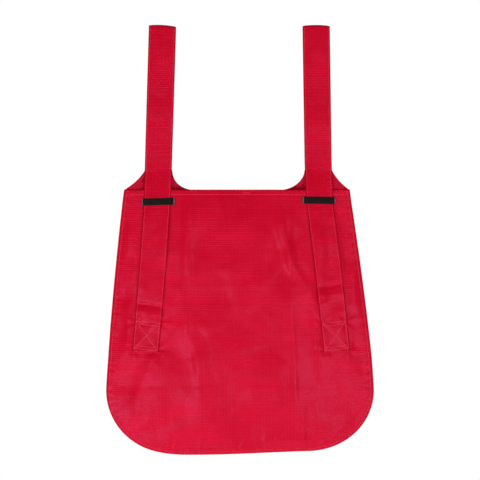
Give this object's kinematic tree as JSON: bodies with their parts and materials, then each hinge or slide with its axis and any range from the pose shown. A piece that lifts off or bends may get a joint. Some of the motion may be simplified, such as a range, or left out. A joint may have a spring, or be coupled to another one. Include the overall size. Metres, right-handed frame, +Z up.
{
  "type": "foldable tote bag",
  "caption": "Flat ripstop tote bag with round bottom corners whose long fabric handles run through webbing keepers on the front, so it can also be worn on the back.",
  "frame": {"origin": "the point where the bag hangs: level with the underside of the folds of the two handle loops, half way between them, in the plane between the two panels", "axes": "+Z up as the bag hangs, front (with the straps and keepers) towards -Y, +X to the right seen from the front"},
  "size_m": [0.415, 0.037, 0.6664],
  "materials": {
    "shell_cloth": "thin semi-gloss ripstop polyester",
    "strap_cloth": "folded ripstop polyester, semi-gloss",
    "webbing": "matt woven polyester webbing",
    "thread": "polyester sewing thread",
    "tack_thread": "polyester sewing thread, dense bar tacks"
  },
  "bodies": {
    "bag": {"front_panel": "shell_cloth", "back_panel": "shell_cloth", "perimeter_seam": "shell_cloth", "perimeter_stitch": "thread", "front_hem": "shell_cloth", "front_hem_stitch": "thread", "back_neck_hem": "shell_cloth", "back_neck_stitch": "thread", "stow_pocket": "shell_cloth", "stow_pocket_hem": "shell_cloth", "stow_pocket_stitch": "thread", "left_strap_tail": "strap_cloth", "left_strap_anchor": "strap_cloth", "left_tail_edge_stitch": "thread", "left_keeper": "webbing", "left_keeper_tacks": "tack_thread", "left_box_stitch": "thread", "left_anchor_stitch": "thread", "right_strap_tail": "strap_cloth", "right_strap_anchor": "strap_cloth", "right_tail_edge_stitch": "thread", "right_keeper": "webbing", "right_keeper_tacks": "tack_thread", "right_box_stitch": "thread", "right_anchor_stitch": "thread"},
    "left_handle": {"left_handle_loop": "strap_cloth", "left_loop_edge_stitch": "thread"},
    "right_handle": {"right_handle_loop": "strap_cloth", "right_loop_edge_stitch": "thread"}
  },
  "joints": [
    {"name": "left_handle_swing", "type": "hinge", "parent": "bag", "child": "left_handle", "pos_m": [-0.12349, 0, -0.213], "axis": [1, 0, 0], "range_deg": [-150, 150]},
    {"name": "right_handle_swing", "type": "hinge", "parent": "bag", "child": "right_handle", "pos_m": [0.12349, 0, -0.213], "axis": [1, 0, 0], "range_deg": [-150, 150]}
  ]
}
